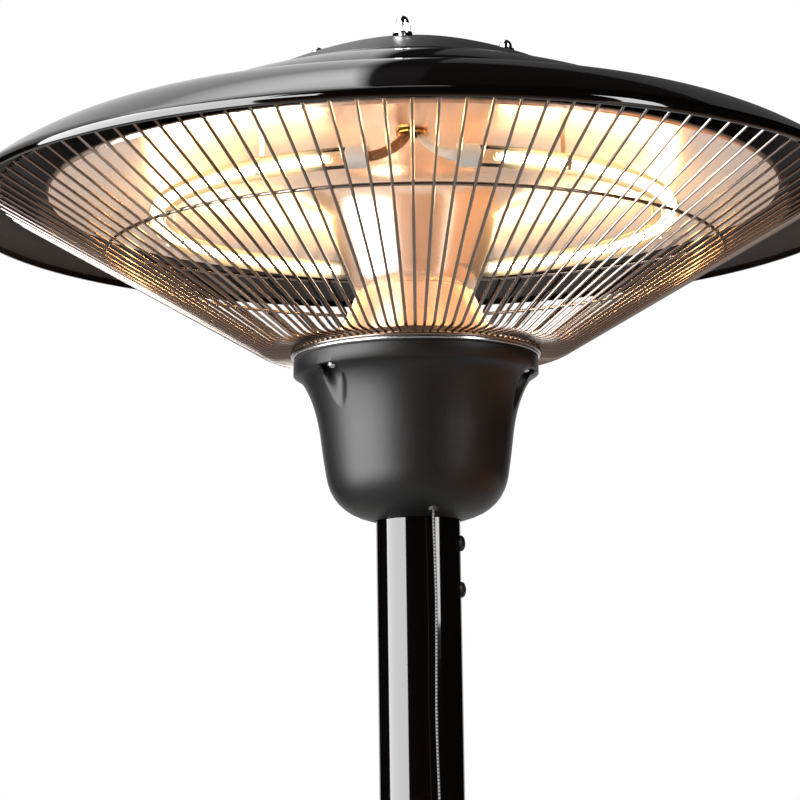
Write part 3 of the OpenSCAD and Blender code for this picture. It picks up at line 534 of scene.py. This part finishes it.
wire_count = 106
wire_radius = 1.0 * mm
wire_foot, wire_knee, wire_top = np.array([(78, -88.5), (98, -88.5), (270, 13)])
wire_slope = np.arctan2(*(wire_top - wire_knee)[::-1])
bend_radius = 16.0
reach = bend_radius * np.tan(wire_slope / 2)
arc = np.linspace(0, wire_slope, 6)
curve = wire_knee + np.stack([bend_radius * np.sin(arc) - reach, bend_radius * (1 - np.cos(arc))], -1)
wire_line = np.concatenate([[wire_foot], curve, [wire_top]])
spread = np.arange(wire_count)[:, None] * 360 / wire_count
wire_paths = around_axis(spread, wire_line[None, :, 0] * mm, rim_z + wire_line[None, :, 1] * mm)
wire_sides = around_axis(spread[:, 0] + 90, 1.0, 0.0)
wires = [tube(path, wire_radius, 8, up=side) for path, side in zip(wire_paths, wire_sides)]
make_piece("guard_wires_bent", mesh_of(np.array(wires)), chrome, "guard_wires")
for name, radius, height, bar in (("outer", 266.73, 13.97, 3.0), ("middle", 199.88, -25.8, 2.4),
                                  ("bottom", 79.4, -90.8, 2.6)):
    circle = around_axis(np.linspace(0, 360, 300, endpoint=False), radius * mm, rim_z + height * mm)
    make_piece(f"guard_{name}_hoop", mesh_of(tube(circle, bar / 2 * mm, 12, closed=True), ring=True),
               chrome, f"guard_{name}_ring")
refine("guard_clips", spring)

# ---- Switch housing ----
# A bell of cast aluminium, powder coated in matt textured black, with three round bores for the
# screws that hold it under the steel mounting plate.
textured, tree, skin = start_finish("textured_black_powder_coat", Base_Color=linear("090909"),
                                    IOR=1.5, Specular_IOR_Level=0.28)
grit = fine_relief(tree, skin, 0.8 * mm, 0.09 * mm)
mottle(tree, skin, grit, "Roughness", 0.38, 0.46)
refine("bell_housing", textured, edge=28)
# Its screws and plate are zinc plated, bright and faintly rippled.
zinc, tree, skin = start_finish("bright_zinc_plate", Base_Color=linear("c3c6c9"), Metallic=1.0,
                                Roughness=0.24)
fine_relief(tree, skin, 2.5 * mm, 0.015 * mm)
refine("bell_screws", zinc, rounding=0.15 * mm)
make_piece("mounting_plate_disc", mesh_of(turned([
    (11.2, -92.1), (79.4, -92.1), (79.7, -92.4), (79.7, -93.3), (79.4, -93.6), (11.2, -93.6)]),
    ring=True), zinc, "mounting_plate")
# The ring under the lower cone has a smoother, satin powder coat, as the base has.
satin, tree, skin = start_finish("satin_black_powder_coat", Base_Color=linear("101010"),
                                 Roughness=0.38, IOR=1.5)
fine_relief(tree, skin, 1.2 * mm, 0.03 * mm)
refine("cone_seat", satin, rounding=0.3 * mm)

# ---- Pole ----
# Three gloss black steel tubes, 54 mm across, held on inner sleeves by domed black screws.
pole_radius = 27.0
bore_radius = 25.5
edge_break = 0.4
for name in ("pole_upper", "pole_middle", "pole_lower"):
    low, high = ((corner.z - rim_z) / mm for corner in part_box(name))
    wall = [(bore_radius, high), (pole_radius - edge_break, high), (pole_radius, high - edge_break),
            (pole_radius, low + edge_break), (pole_radius - edge_break, low), (bore_radius, low)]
    make_piece(name + "_tube", mesh_of(turned(wall, 160), ring=True), enamel, name)
# The screws are blackened steel, which gives back little light.
black_screw, tree, skin = start_finish("black_oxide_steel", Base_Color=linear("0e0e10"),
                                       Roughness=0.4, IOR=1.5, Specular_IOR_Level=0.3)
fine_relief(tree, skin, 1.0 * mm, 0.02 * mm)
for node in ("neck_screws", "joint_screws"):
    refine(node, black_screw, rounding=0.2 * mm)

# ---- Base ----
# A spun steel cover in satin black over a cast concrete ring, on a rubber mat, bolted to the
# flange that the pole stands in.
refine("base_cover", satin, edge=25)
# Cast concrete is chalky and mottled grey, and the moulded rubber is dull with a faint grain.
concrete, tree, skin = start_finish("cast_concrete", Roughness=0.9, IOR=1.5)
sand = fine_relief(tree, skin, 4 * mm, 0.6 * mm)
mottle(tree, skin, sand, "Base Color", linear("6f6c66"), linear("a8a59e"))
rubber, tree, skin = start_finish("moulded_black_rubber", Base_Color=linear("161616"), Roughness=0.7,
                                  IOR=1.52)
fine_relief(tree, skin, 2 * mm, 0.1 * mm)
refine("base_socket", satin, rounding=0.4 * mm)
refine("base_bolts", zinc, rounding=0.3 * mm)

# ---- Inner pieces ----
# What the housing and hood hide keeps its CAD shape, each in the finish of its own stuff. Nylon is
# smooth and half glossy, cream for the switch's case and blue for its drum, and the wires' PVC
# cover is dark grey and duller.
cream, tree, skin = start_finish("moulded_cream_nylon", Base_Color=linear("ded8c6"), Roughness=0.4,
                                 IOR=1.53)
fine_relief(tree, skin, 1.5 * mm, 0.04 * mm)
blue, tree, skin = start_finish("moulded_blue_nylon", Base_Color=linear("3c6f9e"), Roughness=0.4,
                                IOR=1.53)
fine_relief(tree, skin, 1.5 * mm, 0.04 * mm)
wire_cover, tree, skin = start_finish("extruded_pvc_cover", Base_Color=linear("3a3a3c"),
                                      Roughness=0.45, IOR=1.54)
fine_relief(tree, skin, 2 * mm, 0.05 * mm)
finish_of_slot = {
    "gloss_black": enamel, "satin_black": satin, "sandy_black": powder, "textured_black": textured,
    "polished_nut": plated, "zinc_steel": zinc, "spring_steel": spring, "polished_aluminium": polished,
    "chromed_wire": chrome, "quartz_glass": quartz, "hot_filament": white_hot,
    "white_ceramic": ceramic, "glass_sleeve": sleeving, "brass": brass, "black_rubber": rubber,
    "black_screw": black_screw, "black_plastic": knob_finish, "cream_plastic": cream,
    "blue_plastic": blue, "pvc_wire": wire_cover, "braided_cord": braid_finish, "concrete": concrete}
for node, solid in frame["nodes"].items():
    solid.data.materials.clear()
    solid.data.materials.append(finish_of_slot[slot_of[node]])


# ---- Studio ----
# A pale floor, a white surround, one soft light from the left and a weaker one from the right.
# Round them stand screens that only the shiny pieces mirror.
def screen(name, azimuths, heights, distance, material):
    """A studio screen: a patch of a globe about the head, between two azimuths and two
    elevations in degrees. Only reflections see it."""
    azimuth, height = np.meshgrid(np.linspace(*azimuths, 25), np.radians(np.linspace(*heights, 25)))
    points = around_axis(azimuth, distance * np.cos(height), rim_z + distance * np.sin(height))
    index = np.arange(25 * 25).reshape(25, 25)
    quads = np.stack([index[:-1, :-1], index[:-1, 1:], index[1:, 1:], index[1:, :-1]], -1)
    mesh = bpy.data.meshes.new(name)
    mesh.from_pydata(points.reshape(-1, 3).tolist(), [], quads.reshape(-1, 4).tolist())
    mesh.materials.append(material)
    made = put(name, mesh)
    made.visible_camera = False
    made.visible_diffuse = False
    made.visible_shadow = False
    made.visible_transmission = False


softbox = plain("softbox_cloth", "ffffff", 14.0)
flag = plain("black_flag", "000000", 0.0)
dim_card = plain("dim_card", "ffffff", 0.09)
dark_card = plain("dark_card", "ffffff", 0.012)
white_card = plain("white_card", "fff2e6", 2.0)
amber_card = plain("amber_card", "ffb27a", 0.8)
brown_card = plain("brown_card", "d39a78", 0.6)
screen("softbox_left", (-95, -35), (-30, 50), 2.6, softbox)
screen("softbox_upper", (-36, -21), (14, 30), 2.6, softbox)
screen("softbox_strip", (47, 58), (-1.2, 40), 2.6, softbox)
screen("card_strip", (44, 56), (-45, -9), 2.6, white_card)
screen("card_amber", (56, 125), (-60, -9), 2.8, amber_card)
screen("card_brown", (-34, 44), (-60, -9), 2.8, brown_card)
screen("flag_front", (-34, 152), (-9, 85), 3.2, flag)
screen("flag_left", (-152, -96), (-30, 14), 3.2, flag)
screen("card_back", (152, 179), (14, 42), 3.2, dim_card)
screen("flag_back", (152, 179), (42, 85), 3.2, dark_card)
# The paper behind on the left is lit from above, and ends softly towards the middle.
paper = plain("lit_paper", "ffffff", 1.0)
tree = paper.node_tree
place = add(tree, "ShaderNodeSeparateXYZ", {0: add(tree, "ShaderNodeTexCoord").outputs["Object"]})
slant = add(tree, "ShaderNodeMath", {0: place.outputs[2], 1: 0.17, 2: -0.17 * (rim_z + 2.1)},
            operation="MULTIPLY_ADD")
aside = add(tree, "ShaderNodeMath", {0: place.outputs[0], 1: slant.outputs[0]}, operation="ADD")
across = add(tree, "ShaderNodeMapRange", {"Value": aside.outputs[0], "From Min": -0.15, "From Max": -0.06,
                                          "To Min": 1.0, "To Max": 0.015})
upwards = add(tree, "ShaderNodeMapRange", {"Value": place.outputs[2], "From Min": rim_z + 2.35,
                                           "From Max": rim_z + 2.75, "To Min": 0.8, "To Max": 3.0})
level = add(tree, "ShaderNodeMath", {0: across.outputs[0], 1: upwards.outputs[0]}, operation="MULTIPLY")
tree.links.new(level.outputs[0], tree.nodes["Emission"].inputs["Strength"])
screen("paper_back", (178, 265), (14, 85), 3.2, paper)

floor_mesh = bpy.data.meshes.new("floor")
floor_mesh.from_pydata([(-9, -9, -0.001), (9, -9, -0.001), (9, 9, -0.001), (-9, 9, -0.001)], [],
                       [(0, 1, 2, 3)])
floor = put("floor", floor_mesh)
pale, tree, skin = start_finish("pale_studio_floor", Base_Color=linear("f2f1ef"), Roughness=0.8)
floor_mesh.materials.append(pale)

for name, at, size, watts in (("key", (-2.4, -1.6, 2.6), 1.6, 55), ("fill", (2.2, -2.6, 2.2), 1.6, 14)):
    light = put(name, bpy.data.lights.new(name, "AREA"))
    light.data.size = size
    light.data.energy = watts
    light.location = at
    light.visible_glossy = False
    aim = np.array([0, 0, rim_z]) - np.array(at)
    light.rotation_euler = (np.arctan2(np.hypot(aim[0], aim[1]), -aim[2]), 0,
                            np.arctan2(aim[1], aim[0]) - np.pi / 2)

world = bpy.data.worlds.new("white_surround")
bpy.context.scene.world = world
world.use_nodes = True
tree = world.node_tree
tree.nodes.clear()
ray = add(tree, "ShaderNodeLightPath")
seen = add(tree, "ShaderNodeMath", {0: ray.outputs["Is Camera Ray"], 1: ray.outputs["Is Glossy Ray"]},
           operation="MAXIMUM")
seen = add(tree, "ShaderNodeMath", {0: seen.outputs[0], 1: ray.outputs["Is Transmission Ray"]},
           operation="MAXIMUM")
level = add(tree, "ShaderNodeMix", {0: seen.outputs[0], 2: 0.55, 3: 1.0})
sky = add(tree, "ShaderNodeBackground", {"Color": (1, 1, 1, 1), "Strength": level.outputs[0]})
add(tree, "ShaderNodeOutputWorld", {"Surface": sky.outputs[0]})

bpy.context.scene.view_settings.view_transform = "Standard"
